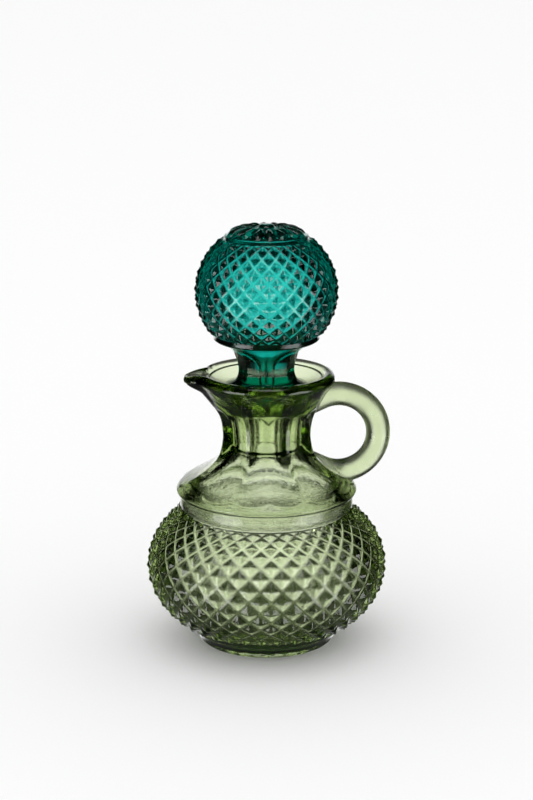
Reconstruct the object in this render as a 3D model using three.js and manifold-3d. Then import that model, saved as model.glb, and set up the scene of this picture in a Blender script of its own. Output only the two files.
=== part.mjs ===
// A stoppered cruet of pressed glass: bottle, loop handle and stopper.
// Millimetres, +Z up. The origin is the middle of the flat foot, the spout points to -X, the handle to +X.
import * as THREE from 'three';
import Module from 'manifold-3d';

// Bottle: driving dimensions
const FOOT_RADIUS = 27.9;
const FOOT_EDGE = 1.2;
const FOOT_BUTTON_RADIUS = 5;
const FOOT_RECESS_RADIUS = 23.6;
const FOOT_RECESS_DEPTH = 2.4;
const BOWL_RADIUS = 48.9;
const BOWL_HALF_HEIGHT = 34;
const BOWL_CENTRE_Z = 31.5;
const NET_BOTTOM_Z = 6.5;
const NET_TOP_Z = 56.2;
const NET_CELLS = 34;
const NET_ROWS = 15;
const NET_DEPTH = 1.2;
const BAND_RADIUS = 35;
const RIM_RADIUS = 24.9;
const RIM_Z = 108.9;
const RIM_ROUND = 2.5;
const COLUMNS = 56;
const BORE_RADIUS = 9.6;
const BORE_BOTTOM_Z = 80.6;
const FLOOR_Z = 8.5;

// Neck flutes and pouring spout
const FLUTES = 7;
const FLUTE_DEPTH = 1.6;
const FLUTE_BOTTOM_Z = 64.5;
const FLUTE_FADE = 6;
const FLUTE_TOP_Z = 101;
const SPOUT_REACH = 5.7;
const SPOUT_INSIDE_SHARE = 0.12;
const SPOUT_HALF_WIDTH = 0.22;
const SPOUT_OUTSIDE_Z = 94.5;
const SPOUT_LIP_Z = 103.4;
const SPOUT_INSIDE_Z = 105.5;
const SPOUT_SIDE = -Math.PI / 2;

// Handle
const LOOP_X = 28.8;
const LOOP_Z = 86;
const LOOP_RADIUS = 16.1;
const LOOP_HALF_WIDTH = 4.8;
const LOOP_HALF_THICKNESS = 4.3;
const LOOP_STRAIGHT = 2;
const LOOP_END = 2.75;
const JOINT_GAP = 0.3;

// Stopper
const BALL_RADIUS = 28.7;
const BALL_HALF_HEIGHT = 27.5;
const BALL_CENTRE_Z = 144.2;
const BALL_NET_BOTTOM_Z = 126;
const BALL_NET_TOP_Z = 165;
const BALL_CELLS = 26;
const BALL_ROWS = 13;
const BALL_NET_DEPTH = 0.9;
const PETALS = 16;
const PETAL_DEPTH = 1.1;
const BUTTON_RADIUS = 2.7;
const TOP_Z = 171;
const WAIST_FLUTES = 8;
const WAIST_FLUTE_DEPTH = 0.7;
const STEM_COLUMNS = 48;
const FLANGE_RADIUS = 17.1;
const FLANGE_Z = 105.2;
const PLUG_RADIUS = 9.9;
const PLUG_BOTTOM_Z = 98.9;
const BUBBLE_TOP_Z = 164.2;
const STEM_BORE_RADIUS = 1.8;
const BUBBLE_COLUMNS = 36;

const GREEN = 0x8ea86c;
const GREEN_HANDLE = 0xb4c494;
const TEAL = 0x2ea79b;

function smoothStep(low, high, value) {
  const t = Math.min(1, Math.max(0, (value - low) / (high - low)));
  return t * t * (3 - 2 * t);
}

// Angles are measured from the front (-Y) towards the handle side (+X).
function ring(count, place) {
  const points = [];
  for (let k = 0; k < count; k += 1) {
    const angle = (2 * Math.PI * k) / count;
    const [radius, z] = place(angle, k);
    points.push([radius * Math.sin(angle), -radius * Math.cos(angle), z]);
  }
  return points;
}

// Closes a stack of rings, from the lowest outside one to the last, with a pole at both ends.
function closedStack(rings, firstPole, lastPole) {
  const vertices = [firstPole];
  const starts = rings.map((points) => {
    const start = vertices.length;
    vertices.push(...points);
    return start;
  });
  const last = vertices.length;
  vertices.push(lastPole);
  const faces = [];
  const cap = (pole, start, count, outward) => {
    for (let k = 0; k < count; k += 1) {
      const next = (k + 1) % count;
      faces.push(outward ? [pole, start + k, start + next] : [pole, start + next, start + k]);
    }
  };
  cap(0, starts[0], rings[0].length, false);
  for (let i = 0; i + 1 < rings.length; i += 1) {
    bridge(faces, starts[i], rings[i], starts[i + 1], rings[i + 1], i);
  }
  cap(last, starts[rings.length - 1], rings[rings.length - 1].length, true);
  const geometry = new THREE.BufferGeometry();
  geometry.setAttribute('position', new THREE.Float32BufferAttribute(vertices.flat(), 3));
  geometry.setIndex(faces.flat());
  return geometry;
}

// Joins two rings. Equal rings get quads whose diagonals alternate, which makes the four faces
// of each raised diamond; unequal rings are zipped together by angle.
function bridge(faces, a, ringA, b, ringB, row) {
  const countA = ringA.length;
  const countB = ringB.length;
  if (countA === countB) {
    for (let k = 0; k < countA; k += 1) {
      const n = (k + 1) % countA;
      if ((k + row) % 2 === 0) {
        faces.push([a + k, a + n, b + k], [a + n, b + n, b + k]);
      } else {
        faces.push([a + k, a + n, b + n], [a + k, b + n, b + k]);
      }
    }
    return;
  }
  let i = 0;
  let j = 0;
  while (i < countA || j < countB) {
    if (j === countB || (i < countA && (i + 1) / countA <= (j + 1) / countB)) {
      faces.push([a + (i % countA), a + ((i + 1) % countA), b + (j % countB)]);
      i += 1;
    } else {
      faces.push([a + (i % countA), b + ((j + 1) % countB), b + (j % countB)]);
      j += 1;
    }
  }
}

// A point on an ellipse of revolution, at a given angle above its equator.
function ellipsePoint(radius, halfHeight, centreZ, tilt) {
  return [radius * Math.cos(tilt), centreZ + halfHeight * Math.sin(tilt)];
}

function tiltAt(z, halfHeight, centreZ) {
  return Math.asin((z - centreZ) / halfHeight);
}

// The bowl's rows are tallest near its widest place and smallest under the band.
function bowlRowShare(u) {
  return u - (0.335 * Math.sin(2 * Math.PI * u)) / (2 * Math.PI) + (0.275 * (u * u - u)) / 2;
}

function netRings(cells, rows, depth, tiltOfRow, pointOfTilt) {
  const rings = [];
  for (let row = 0; row <= rows; row += 1) {
    const [radius, z] = pointOfTilt(tiltOfRow(row));
    rings.push(ring(2 * cells, (angle, k) => {
      const peak = (row + k) % 2 === 1 && row > 0 && row < rows;
      return [peak ? radius : radius - depth, z];
    }));
  }
  return rings;
}

// Rows are counted down from the band, so that both nets have a peak at the front in their first row.
function bowlNet(clearance) {
  const top = tiltAt(NET_TOP_Z, BOWL_HALF_HEIGHT, BOWL_CENTRE_Z);
  const bottom = tiltAt(NET_BOTTOM_Z, BOWL_HALF_HEIGHT, BOWL_CENTRE_Z);
  const tiltOfRow = (row) => top + (bottom - top) * bowlRowShare(row / NET_ROWS);
  const pointOfTilt = (tilt) => ellipsePoint(
    BOWL_RADIUS + clearance, BOWL_HALF_HEIGHT + clearance, BOWL_CENTRE_Z, tilt);
  return netRings(NET_CELLS, NET_ROWS, NET_DEPTH, tiltOfRow, pointOfTilt).reverse();
}

// Concave panels between narrow lands: 0 on a land, 1 in the middle of a panel.
function fluteShape(angle, count, offset) {
  const share = Math.abs(Math.cos((count * (angle - offset)) / 2));
  return smoothStep(0.12, 1, share);
}

function fluteAmount(z) {
  const above = smoothStep(FLUTE_BOTTOM_Z, FLUTE_BOTTOM_Z + FLUTE_FADE, z);
  return above * (1 - smoothStep(FLUTE_TOP_Z - 7, FLUTE_TOP_Z, z));
}

function spoutShape(angle) {
  const turn = Math.atan2(Math.sin(angle - SPOUT_SIDE), Math.cos(angle - SPOUT_SIDE));
  return Math.exp(-(Math.abs(turn / SPOUT_HALF_WIDTH) ** 2.6));
}

function outsideRadius(radius, z, angle) {
  const flute = FLUTE_DEPTH * fluteAmount(z) * fluteShape(angle, FLUTES, 0);
  const flare = Math.min(1, Math.max(0, (z - SPOUT_OUTSIDE_Z) / 10));
  const rise = 0.5 * flare + 0.5 * smoothStep(SPOUT_LIP_Z, SPOUT_LIP_Z + 3.4, z);
  return radius - flute + SPOUT_REACH * rise * spoutShape(angle);
}

function insideRadius(radius, z, angle) {
  const reach = SPOUT_INSIDE_SHARE * SPOUT_REACH;
  return radius + reach * smoothStep(SPOUT_INSIDE_Z, RIM_Z + 1, z) * spoutShape(angle);
}

function curvePoints(points, steps) {
  const curve = new THREE.SplineCurve(points.map(([radius, z]) => new THREE.Vector2(radius, z)));
  return curve.getSpacedPoints(steps).map((point) => [point.x, point.y]);
}

// The underside: a flat button in the middle and a ring-shaped recess inside the standing ring.
const FOOT_RECESS_PROFILE = [
  [FOOT_BUTTON_RADIUS, 0],
  [FOOT_BUTTON_RADIUS + 1.2, FOOT_RECESS_DEPTH],
  [FOOT_RECESS_RADIUS - 1.2, FOOT_RECESS_DEPTH],
  [FOOT_RECESS_RADIUS, 0],
];

const FOOT_PROFILE = [
  [FOOT_RADIUS - FOOT_EDGE, 0],
  [FOOT_RADIUS, FOOT_EDGE],
  [29.6, 3.6],
];

const SHOULDER_PROFILE = curvePoints([
  [36.3, 63.6],
  [34.6, 65.9],
  [28.2, 70],
  [22.8, 74],
  [19.5, 78],
  [18, 84],
  [18.1, 89],
  [19.2, 94],
  [22.7, 101.5],
  [25.6, 106.6],
], 13);

// The mouth's inside is a straight cone that the stopper's flange sits in.
const INSIDE_PROFILE = [
  [22.2, 109.8],
  [17.5, 105.2],
  [BORE_RADIUS + 0.4, 97.9],
  [BORE_RADIUS, 96.5],
  [BORE_RADIUS, BORE_BOTTOM_Z],
  ...curvePoints([[11.2, 79.8], [14.8, 75.8], [22, 69.8], [29.4, 63.5], [31, 57.5]], 5),
];

const CAVITY_RADIUS = 43.4;
const CAVITY_HALF_HEIGHT = 28.4;

function outsideRings(clearance) {
  const foot = clearance > 0 ? FOOT_PROFILE : [...FOOT_RECESS_PROFILE, ...FOOT_PROFILE];
  const rings = foot.map(([radius, z]) => ring(COLUMNS, () => [radius + clearance, z]));
  rings.push(...bowlNet(clearance));
  const band = [[BAND_RADIUS, 56], [BAND_RADIUS, 61.4], [BAND_RADIUS + 0.2, 62.1], [36.2, 62.6]];
  for (const [radius, z] of [...band, ...SHOULDER_PROFILE]) {
    rings.push(ring(COLUMNS, (angle) => [outsideRadius(radius, z, angle) + clearance, z]));
  }
  return rings;
}

function rimRings() {
  const rings = [];
  const steps = 6;
  for (let i = 0; i <= steps; i += 1) {
    const turn = -0.25 + ((Math.PI + 0.1) * i) / steps;
    const radius = RIM_RADIUS + RIM_ROUND * Math.cos(turn);
    const z = RIM_Z + RIM_ROUND * Math.sin(turn);
    const place = radius > RIM_RADIUS ? outsideRadius : insideRadius;
    rings.push(ring(COLUMNS, (angle) => [place(radius, z, angle), z]));
  }
  return rings;
}

function insideRings() {
  const rings = INSIDE_PROFILE.map(([radius, z]) => ring(COLUMNS, (angle) => [insideRadius(radius, z, angle), z]));
  const steps = 8;
  const top = 0.82;
  for (let i = 0; i < steps; i += 1) {
    const tilt = top - ((top + Math.PI / 2) * i) / steps;
    const [radius, z] = ellipsePoint(CAVITY_RADIUS, CAVITY_HALF_HEIGHT, BOWL_CENTRE_Z, tilt);
    rings.push(ring(COLUMNS / 2, () => [radius, Math.max(z, FLOOR_Z - 5.4 * (radius / CAVITY_RADIUS) ** 2)]));
  }
  return rings;
}

function bottleGeometry() {
  const rings = [...outsideRings(0), ...rimRings(), ...insideRings()];
  return closedStack(rings, [0, 0, 0], [0, 0, FLOOR_Z]);
}

// The bottle's outside as one plain solid, grown by the joint gap, for trimming the handle's roots.
function bottleSkin(clearance) {
  const rings = outsideRings(clearance);
  const rim = RIM_RADIUS + RIM_ROUND + clearance;
  rings.push(ring(COLUMNS, () => [rim, RIM_Z]));
  rings.push(ring(COLUMNS, () => [rim - RIM_ROUND, RIM_Z + RIM_ROUND + clearance]));
  return closedStack(rings, [0, 0, 0], [0, 0, RIM_Z + RIM_ROUND + clearance]);
}

function toSolid(wasm, geometry) {
  const mesh = new wasm.Mesh({
    numProp: 3,
    vertProperties: new Float32Array(geometry.attributes.position.array),
    triVerts: new Uint32Array(geometry.index.array),
  });
  return new wasm.Manifold(mesh);
}

function fromSolid(solid) {
  const mesh = solid.getMesh();
  const geometry = new THREE.BufferGeometry();
  geometry.setAttribute('position', new THREE.BufferAttribute(mesh.vertProperties, 3));
  geometry.setIndex(new THREE.BufferAttribute(mesh.triVerts, 1));
  return geometry;
}

// A point at some reach from the loop's middle: on a circle, carried on straight at both ends.
function loopPoint(reach, y, bend) {
  const turn = Math.min(LOOP_STRAIGHT, Math.max(-LOOP_STRAIGHT, bend));
  const beyond = (bend - turn) * LOOP_RADIUS;
  const x = LOOP_X + reach * Math.cos(turn) - beyond * Math.sin(turn);
  return [x, y, LOOP_Z + reach * Math.sin(turn) + beyond * Math.cos(turn)];
}

// An oval bar bent into most of a circle. Both ends run into the bottle's glass and are trimmed by it.
function loopGeometry() {
  const sides = 16;
  const steps = 34;
  const rings = [];
  for (let i = 0; i <= steps; i += 1) {
    const bend = -LOOP_END + (2 * LOOP_END * i) / steps;
    const points = [];
    for (let k = 0; k < sides; k += 1) {
      const around = (2 * Math.PI * k) / sides;
      const reach = LOOP_RADIUS + LOOP_HALF_WIDTH * Math.cos(around);
      const y = LOOP_HALF_THICKNESS * Math.sin(around);
      points.push(loopPoint(reach, y, bend));
    }
    rings.push(points);
  }
  return closedStack(rings, loopPoint(LOOP_RADIUS, 0, -LOOP_END), loopPoint(LOOP_RADIUS, 0, LOOP_END));
}

function ballNet() {
  const top = tiltAt(BALL_NET_TOP_Z, BALL_HALF_HEIGHT, BALL_CENTRE_Z);
  const bottom = tiltAt(BALL_NET_BOTTOM_Z, BALL_HALF_HEIGHT, BALL_CENTRE_Z);
  const tiltOfRow = (row) => bottom + ((top - bottom) * row) / BALL_ROWS;
  const pointOfTilt = (tilt) => ellipsePoint(BALL_RADIUS, BALL_HALF_HEIGHT, BALL_CENTRE_Z, tilt);
  return netRings(BALL_CELLS, BALL_ROWS, BALL_NET_DEPTH, tiltOfRow, pointOfTilt);
}

const STEM_PROFILE = [
  [PLUG_RADIUS - 0.9, PLUG_BOTTOM_Z],
  [PLUG_RADIUS, PLUG_BOTTOM_Z + 0.5],
  [PLUG_RADIUS + 1.7, 99.95],
  [FLANGE_RADIUS - 0.4, FLANGE_Z - 0.4],
  [FLANGE_RADIUS, FLANGE_Z],
  [FLANGE_RADIUS - 0.1, FLANGE_Z + 0.8],
  [14.6, 107.1],
  [12.4, 108.4],
  [11.3, 110.8],
  [11.3, 113.5],
  [12.4, 117.8],
  [14.4, 121.6],
  [18.4, 124.3],
  [20.9, 125.4],
];

// The waist's flutes meet in ridges, one of them at the front.
function stemRings() {
  return STEM_PROFILE.map(([radius, z]) => {
    const amount = smoothStep(107, 110, z) * (1 - smoothStep(117, 124, z));
    return ring(STEM_COLUMNS, (angle) => {
      const flute = WAIST_FLUTE_DEPTH * amount * fluteShape(angle, WAIST_FLUTES, Math.PI / WAIST_FLUTES);
      return [radius - flute, z];
    });
  });
}

// The bubble blown into the ball, drawn in to a narrow bore that runs down the stem and out of the plug.
function bubbleGeometry() {
  const profile = curvePoints([[4, 163.9], [9.5, 163], [17, 158.2], [21.6, 150.6], [22.8, 143.6], [21.2, 135.8],
    [16.6, 129.6], [10.6, 125.9], [6.4, 122.6], [3.4, 118.6], [STEM_BORE_RADIUS, 115.2]], 16);
  profile.push([STEM_BORE_RADIUS, PLUG_BOTTOM_Z - 1]);
  const rings = profile.reverse().map(([radius, z]) => ring(BUBBLE_COLUMNS, () => [radius, z]));
  return closedStack(rings, [0, 0, PLUG_BOTTOM_Z - 1], [0, 0, BUBBLE_TOP_Z]);
}

// The rosette: a low dome of petals parted by V grooves, round a small flat button.
function rosetteRings() {
  const rings = [];
  const profile = [[17.6, 165.6], [15.2, 167.9], [11.5, 169.2], [7, 169.9], [3.6, 170.1]];
  for (const [radius, z] of profile) {
    const fade = radius / profile[0][0];
    rings.push(ring(2 * PETALS, (angle, k) => [radius, z - (k % 2 === 1 ? PETAL_DEPTH * fade + 0.15 : 0)]));
  }
  rings.push(ring(2 * PETALS, () => [BUTTON_RADIUS, 170.4]));
  rings.push(ring(2 * PETALS, () => [BUTTON_RADIUS - 0.5, TOP_Z]));
  return rings;
}

function stopperGeometry() {
  const rings = [...stemRings(), ...ballNet(), ...rosetteRings()];
  return closedStack(rings, [0, 0, PLUG_BOTTOM_Z], [0, 0, TOP_Z]);
}

function part(name, geometry, color, roughness) {
  const material = new THREE.MeshStandardMaterial({ color, roughness, metalness: 0, flatShading: true });
  const mesh = new THREE.Mesh(geometry, material);
  mesh.name = name;
  return mesh;
}

const wasm = await Module();
wasm.setup();
const skin = toSolid(wasm, bottleSkin(JOINT_GAP));
const handleSolid = toSolid(wasm, loopGeometry()).subtract(skin);
const stopperSolid = toSolid(wasm, stopperGeometry()).subtract(toSolid(wasm, bubbleGeometry()));

const group = new THREE.Group();
group.add(part('bottle', bottleGeometry(), GREEN, 0.08));
group.add(part('handle', fromSolid(handleSolid), GREEN_HANDLE, 0.25));
group.add(part('stopper', fromSolid(stopperSolid), TEAL, 0.08));

export default group;
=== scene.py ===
"""A stoppered cruet of pressed glass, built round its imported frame: bottle, loop handle and ball stopper."""

import math

import bpy
import numpy as np
from bpy.props import FloatProperty, FloatVectorProperty, IntProperty, PointerProperty
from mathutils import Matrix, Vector


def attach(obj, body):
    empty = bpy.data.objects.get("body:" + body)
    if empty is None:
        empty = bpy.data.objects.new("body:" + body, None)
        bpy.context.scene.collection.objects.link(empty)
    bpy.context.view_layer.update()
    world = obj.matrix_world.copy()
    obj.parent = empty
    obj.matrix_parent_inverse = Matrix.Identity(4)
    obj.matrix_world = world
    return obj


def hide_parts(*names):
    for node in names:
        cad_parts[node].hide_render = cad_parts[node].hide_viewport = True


bl_info = {
    "name": "Stoppered glass cruet",
    "version": (1, 0, 0),
    "blender": (4, 5, 0),
    "location": "3D View > Sidebar > Cruet",
    "description": "Builds the pressed glass bottle, its handle, its stopper and a plain studio",
    "category": "Object",
}

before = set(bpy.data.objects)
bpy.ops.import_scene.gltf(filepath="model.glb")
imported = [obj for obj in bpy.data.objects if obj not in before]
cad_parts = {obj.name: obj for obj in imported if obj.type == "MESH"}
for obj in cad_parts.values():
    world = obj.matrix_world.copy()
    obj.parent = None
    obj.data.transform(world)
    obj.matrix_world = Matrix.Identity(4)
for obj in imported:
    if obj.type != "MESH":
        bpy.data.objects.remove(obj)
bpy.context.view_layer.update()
MM = 0.001
WHITE = (1.0, 1.0, 1.0, 1.0)

# Millimetres, in the frame's own axes: +Z up from the foot, +X to the handle, -Y to the front.
# Bottle
FOOT_RADIUS = 27.9
FOOT_EDGE = 1.7
FOOT_BUTTON = 5.0
STAR_RADIUS = 22.4
STAR_FLOOR = 2.0
STAR_RAYS = 24
STAR_DEPTH = 1.4
BOWL_RADIUS = 48.9
BOWL_HALF_HEIGHT = 34.0
BOWL_CENTRE = 31.5
NET_BOTTOM = 6.5
NET_TOP = 56.2
NET_ROWS = 15
ROW_STRETCH = 0.335
ROW_LEAN = 0.275
BAND_RADIUS = 35.0
BAND_TOP = 61.2
RIM_RADIUS = 24.9
RIM_CENTRE = 108.9
RIM_ROUND = 2.5
BORE_RADIUS = 9.6
BORE_BOTTOM = 80.6
CAVITY_RADIUS = 43.4
CAVITY_HALF_HEIGHT = 28.4
FLOOR_EDGE_HEIGHT = 3.1
FLOOR_RISE = 5.4
WAVE_HEIGHTS = (0.1, 0.07)

# Scallops along the shoulder, two to each flute
SCALLOP_LOW = 65.0
SCALLOP_HIGH = 66.3
SCALLOP_STEP = 0.55
SCALLOP_SOFTNESS = 0.3
SCALLOP_FADE = (66.5, 72.0)

# Neck flutes
FLUTE_HALF_WIDTH = math.radians(22.3)
FLUTE_BOTTOM = 65.0
FLUTE_FADE = 4.0
FLUTE_WIDEN = (66.0, 84.0)
FLUTE_TOP = 98.0
FLUTE_NOTCH = 2.6
FLUTE_NOTCH_WIDTH = 0.09
FLUTE_STOP = 1.5

# Spout
SPOUT_SIDE = -math.pi / 2
SPOUT_REACH = 5.7
SPOUT_HALF_WIDTH = 0.22
SPOUT_BLUNTNESS = 2.6
SPOUT_INSIDE_SHARE = 0.12
SPOUT_FULLER = 0.4
SPOUT_DROOP = 0.5
TROUGH_DEPTH = 1.4
TROUGH_HALF_WIDTH = 0.12
PINCH_DEPTH = 0.35
PINCH_TURN = 0.42
PINCH_HALF_WIDTH = 0.07
SPOUT_OUTSIDE_START = 94.5
SPOUT_LIP = (103.4, 106.8)
SPOUT_INSIDE_START = 105.5

# Handle
LOOP_X = 28.8
LOOP_Z = 86.0
LOOP_RADIUS = 16.1
LOOP_HALF_WIDTH = 4.8
LOOP_HALF_THICKNESS = 4.3
LOOP_STRAIGHT = 2.0
LOOP_END = 2.75
JOINT_GAP = 0.3

# Stopper
BALL_RADIUS = 28.7
BALL_HALF_HEIGHT = 27.5
BALL_CENTRE = 144.2
BALL_NET_BOTTOM = 126.0
BALL_NET_TOP = 166.4
BALL_ROWS = 13
BUBBLE_TOP = 164.2
STEM_BORE = 1.8
PLUG_BOTTOM = 98.9
WAIST_FLUTES = 8
WAIST_FLUTE_DEPTH = 0.7
ROSETTE_TURN = math.radians(4)
TOP = 171.0
PETAL_RISE = 1.5
BUTTON_RADIUS = 2.7

# Glass. Roughness, grain scale and grain strength of each piece.
GLASS_IOR = 1.5
BOTTLE_FINISH = (0.03, 900.0, 0.12)
HANDLE_FINISH = (0.34, 500.0, 0.15)
STOPPER_FINISH = (0.04, 1100.0, 0.12)

# Orange-peel on the lower shoulder, in metres, scale and height
PEEL_LOW = 0.0655
PEEL_HIGH = 0.0715
PEEL_SCALE = 420.0
PEEL_HEIGHT = 2.6

# Mesh density. The land along each groove is one step wide on both sides.
STEPS_PER_ROW = 6
GROOVE_LAND = 1 / STEPS_PER_ROW
UPPER_COLUMNS_RATIO = 2
INSIDE_COLUMNS_RATIO = 2

# Studio: limits of direction sines and cosines, from dark to full, and where the soft boxes hang
PANEL_SIDE_EDGE = (0.86, 0.96)
PANEL_LOW_EDGE = (-0.60, -0.40)
PANEL_HIGH_EDGE = (0.30, 0.14)
TABLE_EDGE = (-0.3, -0.6)
CEILING_EDGE = (0.7, 0.9)
BOX_EDGE = (0.91, 0.97)
LEFT_BOX = (-0.75, -0.5, -0.3)
RIGHT_BOX = (0.75, -0.5, -0.3)
TOP_BOX = (0.0, -0.35, 0.9)
FLOOR_HALF = 40.0
FLOOR_PAINT = (0.93, 0.93, 0.93, 1.0)

# Camera
CAMERA_DISTANCE = 0.8
CAMERA_HEIGHT = 0.314
CAMERA_TURN = math.radians(-2.3)
CAMERA_PITCH = math.radians(15.0)
CAMERA_LENS = 93.2
SENSOR_HEIGHT = 36.0


# ---------------------------------------------------------------- curves and surfaces

def smooth_step(low, high, value):
    """0 below low, 1 above high, and three t squared minus two t cubed in between."""
    t = np.clip((value - low) / (high - low), 0.0, 1.0)
    return t * t * (3.0 - 2.0 * t)


def smooth_curve(points, steps):
    """A Catmull-Rom curve through (radius, height) points, as evenly spaced rows of the same pairs."""
    p = np.array(points, dtype=float)
    padded = np.vstack([2 * p[0] - p[1], p, 2 * p[-1] - p[-2]])
    t = np.linspace(0, 1, 40, endpoint=False)[:, None]
    spans = []
    for i in range(len(p) - 1):
        a, b, c, d = padded[i:i + 4]
        spans.append(0.5 * (2 * b + (c - a) * t + (2 * a - 5 * b + 4 * c - d) * t ** 2
                            + (3 * b - a - 3 * c + d) * t ** 3))
    dense = np.vstack(spans + [p[-1:]])
    along = np.concatenate([[0.0], np.cumsum(np.hypot(*np.diff(dense, axis=0).T))])
    even = np.linspace(0, along[-1], steps)
    return np.stack([np.interp(even, along, dense[:, 0]), np.interp(even, along, dense[:, 1])], axis=1)


def columns(count):
    """Equal angles round the axis, from the front towards the handle."""
    return np.arange(count) * (2 * math.pi / count)


def around(radius, height, angle):
    """Points at radius r, height z and angle t: (r sin t, -r cos t, z)."""
    radius, height, angle = np.broadcast_arrays(radius, height, angle)
    return np.stack([radius * np.sin(angle), -radius * np.cos(angle), height], axis=-1)


def turn_from(angle, centre):
    """Signed angle from a centre direction, between minus and plus half a turn."""
    return np.arctan2(np.sin(angle - centre), np.cos(angle - centre))


def zone_faces(start, rows, count, diagonals):
    """Triangles of a grid of rows that closes round its columns. diagonals is True where a square is
    split from its first corner to its far corner."""
    i, k = np.meshgrid(np.arange(rows - 1), np.arange(count), indexing="ij")
    n = (k + 1) % count
    a = start + i * count + k
    b = start + i * count + n
    c = start + (i + 1) * count + n
    d = start + (i + 1) * count + k
    flip = np.broadcast_to(diagonals, a.shape)[..., None]
    first = np.where(flip, np.stack([a, b, c], -1), np.stack([a, b, d], -1))
    second = np.where(flip, np.stack([a, c, d], -1), np.stack([b, c, d], -1))
    return np.concatenate([first.reshape(-1, 3), second.reshape(-1, 3)])


def seam_faces(low, low_count, high, high_count):
    """Triangles between two rings, where one has a whole number of times more points than the other."""
    if low_count < high_count:
        return seam_faces(high, high_count, low, low_count)[:, ::-1]
    ratio = low_count // high_count
    fine = np.arange(low_count)
    owner = ((fine + ratio // 2) // ratio) % high_count
    fans = np.stack([low + fine, low + (fine + 1) % low_count, high + owner], -1)
    coarse = np.arange(high_count)
    middle = (coarse * ratio + ratio - ratio // 2) % low_count
    bridges = np.stack([low + middle, high + (coarse + 1) % high_count, high + coarse], -1)
    return np.concatenate([fans, bridges])


def closed_shell(zones, first_pole, last_pole):
    """Vertices and triangles of one closed surface from a stack of zones, each (points, diagonals), with a
    pole at both ends. Zones run up the outside of the glass, and down inside a hollow."""
    vertices = [np.array([first_pole])]
    faces = []
    start = 1
    previous = None
    for points, diagonals in zones:
        rows, count = points.shape[:2]
        vertices.append(points.reshape(-1, 3))
        faces.append(zone_faces(start, rows, count, diagonals))
        if previous is None:
            k = np.arange(count)
            faces.append(np.stack([np.zeros_like(k), start + (k + 1) % count, start + k], -1))
        else:
            faces.append(seam_faces(previous[0], previous[1], start, count))
        start += rows * count
        previous = (start - count, count)
    k = np.arange(previous[1])
    faces.append(np.stack([np.full_like(k, start), previous[0] + k, previous[0] + (k + 1) % previous[1]], -1))
    vertices.append(np.array([last_pole]))
    return np.concatenate(vertices), np.concatenate(faces)


def mesh_object(name, vertices, faces):
    """A smooth-shaded object from millimetre vertices and triangles."""
    mesh = bpy.data.meshes.new(name)
    mesh.vertices.add(len(vertices))
    mesh.vertices.foreach_set("co", (vertices * MM).ravel())
    mesh.loops.add(faces.size)
    mesh.loops.foreach_set("vertex_index", faces.ravel())
    mesh.polygons.add(len(faces))
    mesh.polygons.foreach_set("loop_start", np.arange(len(faces)) * 3)
    mesh.polygons.foreach_set("use_smooth", np.ones(len(faces), dtype=bool))
    mesh.update()
    if mesh.validate():
        raise RuntimeError(f"{name} has a faulty face")
    piece = bpy.data.objects.new(name, mesh)
    bpy.context.scene.collection.objects.link(piece)
    return piece


# ---------------------------------------------------------------- diamond relief

def diamond_height(across, up):
    """Height of a field of four-sided pyramids: one minus the distance |u|+|v| to the nearest peak, in half
    cells. Peaks stand where the whole numbers across and up add to an odd number."""
    u = across - np.floor(across)
    v = up - np.floor(up)
    peak_below = (np.floor(across) + np.floor(up)) % 2 == 1
    near = np.where(peak_below, np.minimum(u + v, 2 - u - v), np.minimum(1 - u + v, 1 + u - v))
    return np.clip(1 - near, 0, 1)


def diamond_zone(cells, rows, depth, radius, height, first_row):
    """A net of raised diamonds. radius and height give the meridian through the peaks at each fine row,
    and the relief is cut inwards from it, square to the meridian. first_row sets which diamonds face the
    front."""
    fine_rows = rows * STEPS_PER_ROW + 1
    count = 2 * cells * STEPS_PER_ROW
    up = (np.arange(fine_rows) / STEPS_PER_ROW)[:, None]
    across = (np.arange(count) / STEPS_PER_ROW)[None, :]
    edge = np.clip(np.minimum(up, rows - up), 0, 1)
    relief = np.minimum(diamond_height(across, up + first_row), edge)
    relief = np.clip((relief - GROOVE_LAND) / (1 - GROOVE_LAND), 0, 1)
    slope_r = np.gradient(radius)[:, None]
    slope_z = np.gradient(height)[:, None]
    length = np.hypot(slope_r, slope_z)
    cut = depth * (1 - relief)
    points = around(radius[:, None] - cut * slope_z / length, height[:, None] + cut * slope_r / length,
                    columns(count)[None, :])
    quarter = np.floor(across) + np.floor(up[:-1] + first_row)
    return points, (quarter % 2 == 0)


def ellipse_meridian(radius, half_height, centre, tilt):
    """Radius and height at a tilt above the equator: a cos t and centre + b sin t."""
    return radius * np.cos(tilt), centre + half_height * np.sin(tilt)


def tilt_at(height, half_height, centre):
    """The tilt whose height on the ellipse is the given one."""
    return math.asin((height - centre) / half_height)


# ---------------------------------------------------------------- bottle

def bowl_row_share(u):
    """Share of the bowl's meridian above row share u: u, less a sine that makes rows tallest near the widest
    place, plus a parabola that leans them to one end."""
    return u - ROW_STRETCH * np.sin(2 * math.pi * u) / (2 * math.pi) + ROW_LEAN * (u * u - u) / 2


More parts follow.
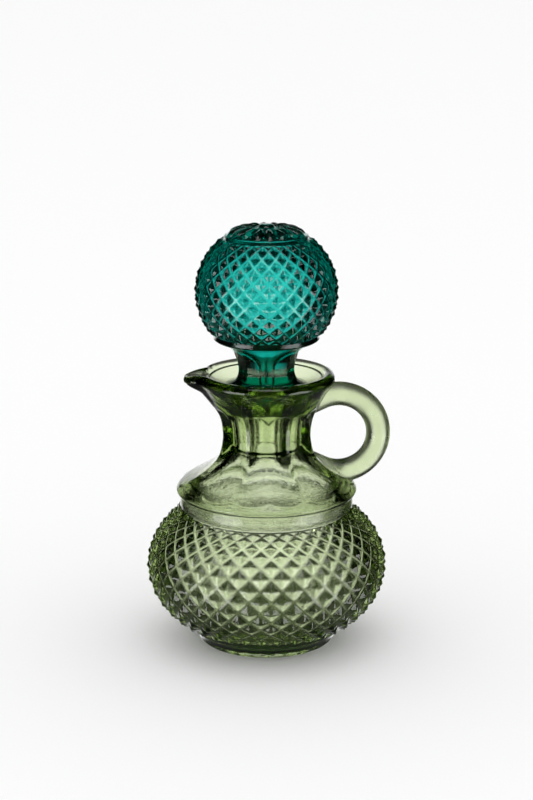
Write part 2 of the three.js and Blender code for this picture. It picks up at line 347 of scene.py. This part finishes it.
def foot_zone(count):
    """Flat button, a ring of V cuts between it and the narrow standing ring, and the flare up to the net. The
    cuts' depth is the saw wave of the angle, growing outwards."""
    button = [(2.0, 0.0), (FOOT_BUTTON, 0.0), (FOOT_BUTTON + 0.5, 0.7)]
    star = [(radius, STAR_FLOOR) for radius in np.linspace(FOOT_BUTTON + 1.2, STAR_RADIUS, 14)]
    ring = [(STAR_RADIUS + 0.6, STAR_FLOOR * 0.5), (STAR_RADIUS + 1.2, 0.0), (25.0, 0.0),
            (FOOT_RADIUS - FOOT_EDGE, 0.0)]
    bend = np.linspace(0, math.pi / 2, 8)[1:]
    edge = [(FOOT_RADIUS - FOOT_EDGE + FOOT_EDGE * math.sin(t), FOOT_EDGE - FOOT_EDGE * math.cos(t))
            for t in bend]
    flare = smooth_curve([(FOOT_RADIUS, FOOT_EDGE), (28.5, 2.8), (29.9, 4.6), (31.7, 6.0)], 8)[1:]
    rows = np.vstack([button, star, ring, edge, flare])
    radius, height = rows[:, :1], rows[:, 1:]
    angle = columns(count)[None, :]
    saw = np.abs(turn_from(STAR_RAYS * angle, 0.0)) / math.pi
    inside = (radius > FOOT_BUTTON + 1) & (radius <= STAR_RADIUS)
    return around(radius, height + STAR_DEPTH * (saw - 0.5) * inside * radius / STAR_RADIUS, angle), False


def bowl_zone(cells, depth):
    """The diamond net on the bowl, from its lowest row up to the band."""
    fine = np.arange(NET_ROWS * STEPS_PER_ROW + 1) / (NET_ROWS * STEPS_PER_ROW)
    top = tilt_at(NET_TOP, BOWL_HALF_HEIGHT, BOWL_CENTRE)
    bottom = tilt_at(NET_BOTTOM, BOWL_HALF_HEIGHT, BOWL_CENTRE)
    tilt = top + (bottom - top) * bowl_row_share(1 - fine)
    radius, height = ellipse_meridian(BOWL_RADIUS, BOWL_HALF_HEIGHT, BOWL_CENTRE, tilt)
    return diamond_zone(cells, NET_ROWS, depth, radius, height, NET_ROWS % 2)


def flute_cut(height, angle, flutes, depth):
    """Depth of the neck's panels: one minus (turn over half width) squared inside a panel, nothing on the
    lands between. Panels widen downwards until the lands end in points, and stop at a notched edge above."""
    pitch = 2 * math.pi / flutes
    turn = turn_from(angle * flutes, 0.0) / flutes
    widen = 1 - smooth_step(*FLUTE_WIDEN, height)
    half_width = FLUTE_HALF_WIDTH + (pitch / 2 - FLUTE_HALF_WIDTH) * widen
    bowl = np.clip(1 - (turn / half_width) ** 2, 0, 1)
    top_edge = FLUTE_TOP - FLUTE_NOTCH * np.exp(-(turn / FLUTE_NOTCH_WIDTH) ** 2)
    stop = 1 - smooth_step(top_edge - FLUTE_STOP, top_edge, height)
    return depth * bowl * stop * smooth_step(FLUTE_BOTTOM, FLUTE_BOTTOM + FLUTE_FADE, height)


def scallop_step(height, angle, flutes):
    """A small step outwards above a row of lobes, two to a flute, with cusps between them."""
    edge = SCALLOP_LOW + (SCALLOP_HIGH - SCALLOP_LOW) * (1 - np.abs(np.sin(flutes * angle)))
    fade = 1 - smooth_step(*SCALLOP_FADE, height)
    return SCALLOP_STEP * smooth_step(edge - SCALLOP_SOFTNESS, edge + SCALLOP_SOFTNESS, height) * fade


def spout_swell(angle):
    """A blunt bell curve round the rim, one at the spout's middle."""
    return np.exp(-np.abs(turn_from(angle, SPOUT_SIDE) / SPOUT_HALF_WIDTH) ** SPOUT_BLUNTNESS)


def upper_radius(radius, height, angle, flutes, depth):
    """Outside of the shoulder, neck and funnel: the round profile, less the panels, plus the scallops and
    the spout's swelling under the lip."""
    flare = np.clip((height - SPOUT_OUTSIDE_START) / 10, 0, 1)
    rise = 0.5 * flare + 0.5 * smooth_step(*SPOUT_LIP, height)
    shape = radius - flute_cut(height, angle, flutes, depth) + scallop_step(height, angle, flutes)
    return shape + SPOUT_REACH * rise * spout_swell(angle)


def upper_profile():
    """Rows from the top of the net up to the lip: band, undercut crease, shoulder, neck and funnel."""
    band = [(BAND_RADIUS - 0.25, NET_TOP), (BAND_RADIUS, NET_TOP + 0.35), (BAND_RADIUS, 58.5),
            (BAND_RADIUS, 60.3), (BAND_RADIUS, BAND_TOP - 0.35)]
    crease = smooth_curve([(BAND_RADIUS - 0.1, BAND_TOP - 0.1), (BAND_RADIUS, BAND_TOP + 0.3),
                           (35.9, BAND_TOP + 0.75), (36.4, 63.2), (36.0, 64.2)], 12)
    shoulder = smooth_curve([(36.0, 64.2), (34.6, 65.6), (32.6, 67.2), (28.2, 70.0), (22.8, 74.0),
                             (19.5, 78.0), (18.0, 84.0), (18.1, 89.0), (19.2, 94.0), (22.7, 101.5),
                             (25.4, 105.6), (27.0, 107.7)], 92)[1:]
    return np.vstack([band, crease, shoulder])


def upper_zone(count, flutes, depth):
    rows = upper_profile()
    angle = columns(count)[None, :]
    return around(upper_radius(rows[:, :1], rows[:, 1:], angle, flutes, depth), rows[:, 1:], angle), False


def rim_zone(count):
    """The rolled lip, a round bead carried round the mouth. At the spout its outer side is pulled out and
    its top is pressed down into a shallow trough, and a small pinch lies to one side."""
    turn = np.linspace(-0.25, math.pi - 0.12, 21)[:, None]
    angle = columns(count)[None, :]
    swell = spout_swell(angle)
    outward = 0.12 + 0.88 * smooth_step(-1.0, 0.1, np.cos(turn))
    from_spout = turn_from(angle, SPOUT_SIDE)
    upward = smooth_step(0.5, 1.0, np.sin(turn))
    trough = TROUGH_DEPTH * np.exp(-(from_spout / TROUGH_HALF_WIDTH) ** 2) * upward
    pinch = PINCH_DEPTH * np.exp(-((from_spout + PINCH_TURN) / PINCH_HALF_WIDTH) ** 2) * np.sin(turn)
    bead = RIM_ROUND + SPOUT_FULLER * swell
    reach = (SPOUT_REACH - SPOUT_FULLER) * outward * swell
    radius = RIM_RADIUS + bead * np.cos(turn) + reach
    height = RIM_CENTRE + bead * np.sin(turn) - SPOUT_DROOP * swell - trough - pinch
    return around(radius, height, angle), False


def inside_zone(count):
    """The funnel's cone, the bore, and the round hollow of the bowl down to its raised floor. Two low sine
    waves round the hollow make the wall slightly uneven."""
    neck = [(22.3, 109.9), (21.6, 109.2), (19.5, 107.15), (17.5, 105.2), (13.7, 101.5), (10.6, 98.5),
            (9.9, 97.6), (BORE_RADIUS, 96.3), (BORE_RADIUS, 92.0), (BORE_RADIUS, 87.5), (BORE_RADIUS, 83.0),
            (BORE_RADIUS, BORE_BOTTOM + 0.4), (BORE_RADIUS + 0.15, BORE_BOTTOM + 0.1),
            (BORE_RADIUS + 0.5, BORE_BOTTOM - 0.1), (11.2, BORE_BOTTOM - 0.8)]
    shoulder = smooth_curve([(11.2, BORE_BOTTOM - 0.8), (14.8, 75.8), (22.0, 69.8), (28.4, 64.2),
                             (30.6, 58.6), (31.6, 54.0)], 26)[1:]
    tilt = np.linspace(0.76, -math.pi / 2, 40, endpoint=False)[1:]
    radius, height = ellipse_meridian(CAVITY_RADIUS, CAVITY_HALF_HEIGHT, BOWL_CENTRE, tilt)
    floor = FLOOR_EDGE_HEIGHT + FLOOR_RISE * (1 - (radius / CAVITY_RADIUS) ** 2)
    height = 0.5 * (height + floor + np.sqrt((height - floor) ** 2 + 1.0))
    rows = np.vstack([neck, shoulder, np.stack([radius, height], 1)])
    angle = columns(count)[None, :]
    wave = (WAVE_HEIGHTS[0] * np.sin(3 * angle + rows[:, 1:] / 9)
            + WAVE_HEIGHTS[1] * np.sin(5 * angle - rows[:, 1:] / 6 + 1))
    calm = 1 - smooth_step(80, 96, rows[:, 1:])
    inner_rise = smooth_step(SPOUT_INSIDE_START, 110, rows[:, 1:])
    swell = SPOUT_INSIDE_SHARE * SPOUT_REACH * spout_swell(angle) * inner_rise
    return around(rows[:, :1] + wave * calm + swell, rows[:, 1:], angle), False


def build_bottle(sizes):
    net, diagonals = bowl_zone(sizes.bowl_cells, sizes.bowl_relief / MM)
    fine = net.shape[1]
    upper = fine // UPPER_COLUMNS_RATIO
    inside = upper // INSIDE_COLUMNS_RATIO
    neck = upper_zone(upper, sizes.neck_flutes, sizes.flute_depth / MM)
    zones = [foot_zone(upper), (net, diagonals), neck, rim_zone(upper), inside_zone(inside)]
    floor = FLOOR_EDGE_HEIGHT + FLOOR_RISE + 0.2
    return mesh_object("bottle_glass", *closed_shell(zones, (0.0, 0.0, 0.0), (0.0, 0.0, floor)))


# ---------------------------------------------------------------- handle

def bottle_outside(x, y, z, sizes):
    """How far a point lies outside the bottle's skin, measured square to the axis."""
    profile = upper_profile()
    angle = np.arctan2(x, -y)
    radius = np.interp(z, profile[:, 1], profile[:, 0])
    return np.hypot(x, y) - upper_radius(radius, z, angle, sizes.neck_flutes, sizes.flute_depth / MM)


def loop_path(reach, bend):
    """X and Z on the loop at a distance from its middle: a circle, carried on straight at both ends."""
    turn = np.clip(bend, -LOOP_STRAIGHT, LOOP_STRAIGHT)
    beyond = (bend - turn) * LOOP_RADIUS
    return (LOOP_X + reach * np.cos(turn) - beyond * np.sin(turn),
            LOOP_Z + reach * np.sin(turn) + beyond * np.cos(turn))


def build_handle(sizes):
    """An oval bar bent into most of a circle: each line along the bar runs between the two places where it
    meets the bottle's skin, less the joint gap. Smaller ovals inside give the two end faces."""
    sides = 48
    steps = 120
    shrink = np.array([0.0, 0.35, 0.7, 1.0])[:, None, None]
    section = columns(sides)[None, :, None]
    bend = np.linspace(0, LOOP_END, 500)[None, None, :]
    across = LOOP_RADIUS + shrink * LOOP_HALF_WIDTH * np.cos(section)
    side = shrink * LOOP_HALF_THICKNESS * np.sin(section)
    ends = []
    for way in (-1.0, 1.0):
        x, z = loop_path(across, way * bend)
        clear = bottle_outside(x, side + 0 * x, z, sizes) > JOINT_GAP
        last = np.where(clear.all(-1), bend.shape[-1] - 1, np.argmin(clear, axis=-1))
        ends.append(way * bend[0, 0, last])
    low, high = ends
    share = np.linspace(0, 1, steps)[:, None]
    body_bend = low[-1][None, :] + (high[-1] - low[-1])[None, :] * share

    def place(bends, level):
        reach = LOOP_RADIUS + level * LOOP_HALF_WIDTH * np.cos(section[0, :, 0])
        thick = level * LOOP_HALF_THICKNESS * np.sin(section[0, :, 0])
        x, z = loop_path(reach, bends)
        return np.stack([x, thick + 0 * bends, z], -1)

    first_cap = np.stack([place(low[i], shrink[i, 0, 0]) for i in (1, 2)])
    last_cap = np.stack([place(high[i], shrink[i, 0, 0]) for i in (2, 1)])
    body = place(body_bend, 1.0)
    points = np.concatenate([first_cap, body, last_cap])
    first_pole = place(low[0], 0.0)[0]
    last_pole = place(high[0], 0.0)[0]
    return mesh_object("handle_glass", *closed_shell([(points, False)], first_pole, last_pole))


# ---------------------------------------------------------------- stopper

def stem_zone(count):
    """Plug, flange, fluted waist and the smooth flare up to the ball's lowest ring."""
    plug = [(8.6, PLUG_BOTTOM), (9.4, PLUG_BOTTOM + 0.15), (9.9, PLUG_BOTTOM + 0.6), (11.6, 99.95),
            (12.5, 100.8), (16.6, 104.75), (17.0, 105.2), (17.1, 105.7)]
    stem = smooth_curve([(17.1, 105.7), (16.7, 106.3), (14.6, 107.1), (12.4, 108.4), (11.3, 110.8),
                         (11.2, 113.5), (12.1, 117.2), (14.0, 120.8), (17.3, 123.3), (20.4, 124.7),
                         (21.2, 125.5)], 60)[1:]
    rows = np.vstack([plug, stem])
    angle = columns(count)[None, :]
    turn = turn_from(WAIST_FLUTES * (angle - math.pi / WAIST_FLUTES), 0.0) / math.pi
    amount = smooth_step(106.5, 110, rows[:, 1:]) * (1 - smooth_step(117, 124.5, rows[:, 1:]))
    cut = WAIST_FLUTE_DEPTH * amount * (1 - turn ** 2)
    return around(rows[:, :1] - cut, rows[:, 1:], angle), False


def bubble_zone(count):
    """The bubble blown into the ball, from its top down: an ellipsoid whose lower end draws in to a narrow
    bore that runs down the stem and out of the plug."""
    bubble = smooth_curve([(0.0, BUBBLE_TOP), (9.5, 163.0), (17.0, 158.2), (21.6, 150.6), (22.8, 143.6),
                           (21.2, 135.8), (16.6, 129.6), (10.6, 125.9), (6.4, 122.6), (3.4, 118.6),
                           (STEM_BORE, 115.2)], 70)[1:]
    bore = [(STEM_BORE, 109.0), (STEM_BORE, 103.0), (STEM_BORE, PLUG_BOTTOM + 1),
            (STEM_BORE + 0.2, PLUG_BOTTOM + 0.4), (STEM_BORE + 0.8, PLUG_BOTTOM)]
    rows = np.vstack([bubble, bore])
    return around(rows[:, :1], rows[:, 1:], columns(count)[None, :]), False


def ball_zone(cells, depth):
    """The diamond net on the ball."""
    fine = np.arange(BALL_ROWS * STEPS_PER_ROW + 1) / (BALL_ROWS * STEPS_PER_ROW)
    top = tilt_at(BALL_NET_TOP, BALL_HALF_HEIGHT, BALL_CENTRE)
    bottom = tilt_at(BALL_NET_BOTTOM, BALL_HALF_HEIGHT, BALL_CENTRE)
    tilt = bottom + (top - bottom) * fine
    radius, height = ellipse_meridian(BALL_RADIUS, BALL_HALF_HEIGHT, BALL_CENTRE, tilt)
    return diamond_zone(cells, BALL_ROWS, depth, radius, height, 0)


def rosette_zone(count, petals, turn):
    """A low dome of rounded petals. A petal's crown is one minus the square of its cross position, and its
    outer end falls in a round lobe, so that valleys and the border are left between."""
    dome = smooth_curve([(16.6, 166.5), (16.2, 166.6), (15.7, 166.75), (14.9, 167.2), (13.6, 168.0),
                         (11.6, 168.8), (8.0, 169.3), (4.4, 169.5), (3.3, 169.6)], 48)
    angle = columns(count)[None, :]
    across = turn_from(petals * (angle - turn), 0.0) / math.pi
    crown = 1 - across ** 2
    radius, height = dome[:, :1], dome[:, 1:]
    lobe = 1 - smooth_step(14.3, 15.8, radius + 1.5 * across ** 2)
    rise = PETAL_RISE * (crown - 0.4) * lobe * smooth_step(3.0, 9.0, radius)
    button = np.array([(BUTTON_RADIUS + 0.2, 170.2), (BUTTON_RADIUS + 0.05, 170.5),
                       (BUTTON_RADIUS - 0.25, 170.8), (BUTTON_RADIUS - 0.9, TOP - 0.03), (0.9, TOP)])
    petal_points = around(radius, height + rise, angle)
    return np.concatenate([petal_points, around(button[:, :1], button[:, 1:], angle)]), False


def build_stopper(sizes):
    net, diagonals = ball_zone(sizes.ball_cells, sizes.ball_relief / MM)
    fine = net.shape[1]
    rosette = rosette_zone(fine, sizes.rosette_petals, ROSETTE_TURN)
    zones = [bubble_zone(fine // 4), stem_zone(fine // 2), (net, diagonals), rosette]
    return mesh_object("stopper_glass", *closed_shell(zones, (0.0, 0.0, BUBBLE_TOP), (0.0, 0.0, TOP)))


# ---------------------------------------------------------------- materials

def add_node(tree, kind, **values):
    """A node with its properties and unlinked inputs set by name."""
    made = tree.nodes.new(kind)
    for name, value in values.items():
        label = name.replace("_", " ").title()
        if label in made.inputs:
            made.inputs[label].default_value = value
        else:
            setattr(made, name, value)
    return made


def range_node(tree, source, low, high, out_high=1.0, name="ramp"):
    """A smooth ramp from nothing up to a level, between two limits of a value."""
    ramp = add_node(tree, "ShaderNodeMapRange", interpolation_type="SMOOTHSTEP", name=name)
    ramp.inputs["From Min"].default_value = low
    ramp.inputs["From Max"].default_value = high
    ramp.inputs["To Min"].default_value = 0.0
    ramp.inputs["To Max"].default_value = out_high
    tree.links.new(source, ramp.inputs["Value"])
    return ramp.outputs["Result"]


def math_node(tree, operation, first, second=None):
    """One arithmetic step between sockets or numbers."""
    step = add_node(tree, "ShaderNodeMath", operation=operation)
    for slot, value in zip(step.inputs, (first, second)):
        if value is None:
            continue
        if isinstance(value, (int, float)):
            slot.default_value = value
        else:
            tree.links.new(value, slot)
    return step.outputs["Value"]


def absorbed_share(per_metre, density):
    """Volume colour whose absorption per metre is the given one at a density."""
    return [1 - value / density for value in per_metre] + [1.0]


def glass_material(name, per_metre, roughness, grain_scale, grain_strength, peel=None):
    """Pressed glass: clear inside with a coloured volume, a faint grain and slightly uneven polish. Between
    the two heights in peel the skin has a coarser orange-peel."""
    material = bpy.data.materials.new(name)
    material.use_nodes = True
    tree = material.node_tree
    tree.nodes.clear()
    place = add_node(tree, "ShaderNodeTexCoord")
    skin = add_node(tree, "ShaderNodeTexNoise", scale=grain_scale, detail=3.0, roughness=0.55)
    polish = add_node(tree, "ShaderNodeTexNoise", scale=grain_scale * 0.22, detail=2.0)
    shine = add_node(tree, "ShaderNodeMapRange")
    shine.inputs["From Min"].default_value = 0.35
    shine.inputs["From Max"].default_value = 0.65
    shine.inputs["To Min"].default_value = roughness * 0.6
    shine.inputs["To Max"].default_value = roughness * 1.5
    bump = add_node(tree, "ShaderNodeBump", strength=grain_strength, distance=0.0006)
    surface = add_node(tree, "ShaderNodeBsdfPrincipled")
    surface.inputs["Base Color"].default_value = WHITE
    surface.inputs["Transmission Weight"].default_value = 1.0
    surface.inputs["IOR"].default_value = GLASS_IOR
    density = max(per_metre) * 1.05
    volume = add_node(tree, "ShaderNodeVolumeAbsorption")
    volume.inputs["Color"].default_value = absorbed_share(per_metre, density)
    volume.inputs["Density"].default_value = density
    output = add_node(tree, "ShaderNodeOutputMaterial")
    link = tree.links.new
    link(place.outputs["Object"], skin.inputs["Vector"])
    link(place.outputs["Object"], polish.inputs["Vector"])
    link(polish.outputs["Fac"], shine.inputs["Value"])
    link(shine.outputs["Result"], surface.inputs["Roughness"])
    relief = skin.outputs["Fac"]
    if peel:
        low, high = peel
        split = add_node(tree, "ShaderNodeSeparateXYZ")
        link(place.outputs["Object"], split.inputs["Vector"])
        z = split.outputs["Z"]
        patch = math_node(tree, "MULTIPLY", range_node(tree, z, low - 0.002, low + 0.001),
                          range_node(tree, z, high + 0.003, high - 0.003))
        coarse = add_node(tree, "ShaderNodeTexNoise", scale=PEEL_SCALE, detail=1.5)
        link(place.outputs["Object"], coarse.inputs["Vector"])
        tall = math_node(tree, "MULTIPLY", patch, PEEL_HEIGHT)
        lumps = math_node(tree, "MULTIPLY", coarse.outputs["Fac"], tall)
        relief = math_node(tree, "ADD", relief, lumps)
    link(relief, bump.inputs["Height"])
    link(bump.outputs["Normal"], surface.inputs["Normal"])
    link(surface.outputs["BSDF"], output.inputs["Surface"])
    link(volume.outputs["Volume"], output.inputs["Volume"])
    return material


def finish_piece(piece, material, body, node):
    piece.data.materials.append(material)
    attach(piece, body)
    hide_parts(node)


# ---------------------------------------------------------------- studio

def build_floor():
    """A wide pale sweep under the foot."""
    mesh = bpy.data.meshes.new("studio_floor")
    corners = [(-FLOOR_HALF, -FLOOR_HALF, 0), (FLOOR_HALF, -FLOOR_HALF, 0),
               (FLOOR_HALF, FLOOR_HALF, 0), (-FLOOR_HALF, FLOOR_HALF, 0)]
    mesh.from_pydata(corners, [], [(0, 1, 2, 3)])
    floor = bpy.data.objects.new("studio_floor", mesh)
    bpy.context.scene.collection.objects.link(floor)
    paint = bpy.data.materials.new("pale_paper")
    paint.use_nodes = True
    surface = paint.node_tree.nodes["Principled BSDF"]
    surface.inputs["Base Color"].default_value = FLOOR_PAINT
    surface.inputs["Roughness"].default_value = 0.9
    mesh.materials.append(paint)
    floor.visible_transmission = False
    floor.visible_glossy = False


def round_panel(tree, place, toward, level, name):
    """A round soft box: full level where the cosine to its middle direction is large, none past its edge."""
    cosine = add_node(tree, "ShaderNodeVectorMath", operation="DOT_PRODUCT")
    tree.links.new(place.outputs["Generated"], cosine.inputs[0])
    cosine.inputs[1].default_value = Vector(toward).normalized()
    return range_node(tree, cosine.outputs["Value"], *BOX_EDGE, level, name)


def build_light(stage):
    """A pale room. What the glass sees is a narrow bright panel behind it, two low soft boxes at the front's
    left and right, one overhead, a faint table and ceiling, and dark sides."""
    world = bpy.data.worlds.new("studio")
    bpy.context.scene.world = world
    world.use_nodes = True
    tree = world.node_tree
    tree.nodes.clear()
    place = add_node(tree, "ShaderNodeTexCoord")
    split = add_node(tree, "ShaderNodeSeparateXYZ")
    tree.links.new(place.outputs["Generated"], split.inputs["Vector"])
    x, y, z = (split.outputs[name] for name in "XYZ")
    flat = math_node(tree, "SQRT", math_node(tree, "ADD", math_node(tree, "MULTIPLY", x, x),
                                             math_node(tree, "MULTIPLY", y, y)))
    back = math_node(tree, "DIVIDE", y, math_node(tree, "MAXIMUM", flat, 0.001))
    band = math_node(tree, "MULTIPLY", range_node(tree, z, *PANEL_LOW_EDGE, name="low"),
                     range_node(tree, z, *PANEL_HIGH_EDGE, name="high"))
    sides = range_node(tree, back, *PANEL_SIDE_EDGE, stage.panel_light, "back")
    lit = [math_node(tree, "MULTIPLY", band, sides),
           range_node(tree, z, *TABLE_EDGE, stage.table_light, "table"),
           range_node(tree, z, *CEILING_EDGE, stage.ceiling_light, "ceiling"),
           round_panel(tree, place, LEFT_BOX, stage.key_light, "left"),
           round_panel(tree, place, RIGHT_BOX, stage.fill_light, "right"),
           round_panel(tree, place, TOP_BOX, stage.top_light, "top")]
    level = lit[0]
    for part in lit[1:]:
        level = math_node(tree, "ADD", level, part)
    seen = add_node(tree, "ShaderNodeBackground", color=WHITE)
    tree.links.new(level, seen.inputs["Strength"])
    room = add_node(tree, "ShaderNodeBackground", color=WHITE, strength=stage.room_light)
    rays = add_node(tree, "ShaderNodeLightPath")
    plain = math_node(tree, "MAXIMUM", rays.outputs["Is Camera Ray"], rays.outputs["Is Diffuse Ray"])
    mix = add_node(tree, "ShaderNodeMixShader")
    output = add_node(tree, "ShaderNodeOutputWorld")
    tree.links.new(plain, mix.inputs["Fac"])
    tree.links.new(seen.outputs["Background"], mix.inputs[1])
    tree.links.new(room.outputs["Background"], mix.inputs[2])
    tree.links.new(mix.outputs["Shader"], output.inputs["Surface"])
    world.cycles.sampling_method = "NONE"


def build_camera():
    """A long lens a little above the rim, looking down at the neck."""
    data = bpy.data.cameras.new("view")
    data.sensor_fit = "VERTICAL"
    data.sensor_height = SENSOR_HEIGHT
    data.lens = CAMERA_LENS
    camera = bpy.data.objects.new("view", data)
    bpy.context.scene.collection.objects.link(camera)
    side = CAMERA_DISTANCE * math.sin(CAMERA_TURN)
    front = -CAMERA_DISTANCE * math.cos(CAMERA_TURN)
    camera.location = (side, front, CAMERA_HEIGHT)
    aim = Vector((0, 0, CAMERA_HEIGHT - CAMERA_DISTANCE * math.tan(CAMERA_PITCH)))
    camera.rotation_euler = (aim - camera.location).to_track_quat("-Z", "Y").to_euler()
    bpy.context.scene.camera = camera


def set_light_paths():
    """Enough bounces for light to cross two glass walls and a stopper."""
    cycles = bpy.context.scene.cycles
    cycles.max_bounces = 24
    cycles.transmission_bounces = 24
    cycles.glossy_bounces = 12
    cycles.diffuse_bounces = 3
    bpy.context.scene.view_settings.view_transform = "Standard"


# ---------------------------------------------------------------- add-on

class CruetSizes(bpy.types.PropertyGroup):
    """Sizes that shape the glass."""
    bowl_cells: IntProperty(name="Bowl diamonds", description="Diamonds round the bowl", default=34,
                            min=12, max=60)
    bowl_relief: FloatProperty(name="Bowl relief", description="Depth of the bowl's grooves",
                               default=1.5 * MM, unit="LENGTH")
    ball_cells: IntProperty(name="Ball diamonds", description="Diamonds round the stopper's ball", default=26,
                            min=12, max=60)
    ball_relief: FloatProperty(name="Ball relief", description="Depth of the ball's grooves",
                               default=1.2 * MM, unit="LENGTH")
    neck_flutes: IntProperty(name="Neck flutes", description="Panels round the neck", default=7,
                             min=3, max=16)
    flute_depth: FloatProperty(name="Flute depth", description="Depth of the neck's panels at their middle",
                               default=1.7 * MM, unit="LENGTH")
    rosette_petals: IntProperty(name="Rosette petals", description="Petals on top of the ball", default=16,
                                min=6, max=32)


class CruetColours(bpy.types.PropertyGroup):
    """How strongly each glass absorbs red, green and blue light, per metre."""
    green: FloatVectorProperty(name="Green glass", description="Absorption per metre of the bottle's glass",
                               default=(61.0, 45.0, 101.0), size=3)
    teal: FloatVectorProperty(name="Teal glass", description="Absorption per metre of the stopper's glass",
                              default=(350.0, 60.0, 74.0), size=3)


class CruetStage(bpy.types.PropertyGroup):
    """Brightness of the studio."""
    room_light: FloatProperty(name="Room", description="Brightness of the room and floor light", default=1.1)
    panel_light: FloatProperty(name="Back panel", description="Brightness behind the glass", default=1.2)
    table_light: FloatProperty(name="Table", description="Brightness seen below the glass", default=0.1)
    ceiling_light: FloatProperty(name="Ceiling", description="Brightness seen above the glass", default=0.06)
    key_light: FloatProperty(name="Key", description="Brightness of the soft box on the left", default=4.7)
    fill_light: FloatProperty(name="Fill", description="Brightness of the soft box on the right", default=3.8)
    top_light: FloatProperty(name="Top", description="Brightness of the soft box above", default=2.0)


class CRUET_OT_bottle(bpy.types.Operator):
    """Make the hollow bottle with its diamond bowl, fluted neck, lip and spout"""
    bl_idname = "cruet.bottle"
    bl_label = "Bottle"

    def execute(self, context):
        piece = build_bottle(context.scene.cruet_sizes)
        colours = context.scene.cruet_colours
        material = glass_material("green_pressed_glass", colours.green, *BOTTLE_FINISH,
                                  peel=(PEEL_LOW, PEEL_HIGH))
        finish_piece(piece, material, "bottle_body", "bottle")
        return {"FINISHED"}


class CRUET_OT_handle(bpy.types.Operator):
    """Make the loop handle fused to the neck and shoulder"""
    bl_idname = "cruet.handle"
    bl_label = "Handle"

    def execute(self, context):
        piece = build_handle(context.scene.cruet_sizes)
        colours = context.scene.cruet_colours
        material = glass_material("green_handle_glass", colours.green, *HANDLE_FINISH)
        finish_piece(piece, material, "bottle_body", "handle")
        return {"FINISHED"}


class CRUET_OT_stopper(bpy.types.Operator):
    """Make the hollow ball stopper with its rosette, waist and plug"""
    bl_idname = "cruet.stopper"
    bl_label = "Stopper"

    def execute(self, context):
        piece = build_stopper(context.scene.cruet_sizes)
        colours = context.scene.cruet_colours
        material = glass_material("teal_pressed_glass", colours.teal, *STOPPER_FINISH)
        finish_piece(piece, material, "stopper_body", "stopper")
        return {"FINISHED"}


class CRUET_OT_stage(bpy.types.Operator):
    """Make the floor, the light and the camera"""
    bl_idname = "cruet.stage"
    bl_label = "Stage"

    def execute(self, context):
        build_floor()
        build_light(context.scene.cruet_stage)
        build_camera()
        set_light_paths()
        return {"FINISHED"}


class CRUET_PT_panel(bpy.types.Panel):
    """Buttons for every piece, with the sizes and colours behind them"""
    bl_idname = "CRUET_PT_panel"
    bl_label = "Stoppered cruet"
    bl_space_type = "VIEW_3D"
    bl_region_type = "UI"
    bl_category = "Cruet"

    def draw(self, context):
        layout = self.layout
        for group in (context.scene.cruet_sizes, context.scene.cruet_colours, context.scene.cruet_stage):
            for name in group.__annotations__:
                layout.prop(group, name)
        for operator in OPERATORS:
            layout.operator(operator.bl_idname)


GROUPS = {"cruet_sizes": CruetSizes, "cruet_colours": CruetColours, "cruet_stage": CruetStage}
OPERATORS = (CRUET_OT_stage, CRUET_OT_bottle, CRUET_OT_handle, CRUET_OT_stopper)


def register():
    for made in (*GROUPS.values(), *OPERATORS, CRUET_PT_panel):
        bpy.utils.register_class(made)
    for name, group in GROUPS.items():
        setattr(bpy.types.Scene, name, PointerProperty(type=group))


def unregister():
    for name in GROUPS:
        delattr(bpy.types.Scene, name)
    for made in reversed((*GROUPS.values(), *OPERATORS, CRUET_PT_panel)):
        bpy.utils.unregister_class(made)


def main():
    register()
    bpy.ops.cruet.stage()
    bpy.ops.cruet.bottle()
    bpy.ops.cruet.handle()
    bpy.ops.cruet.stopper()


if __name__ == "__main__":
    main()
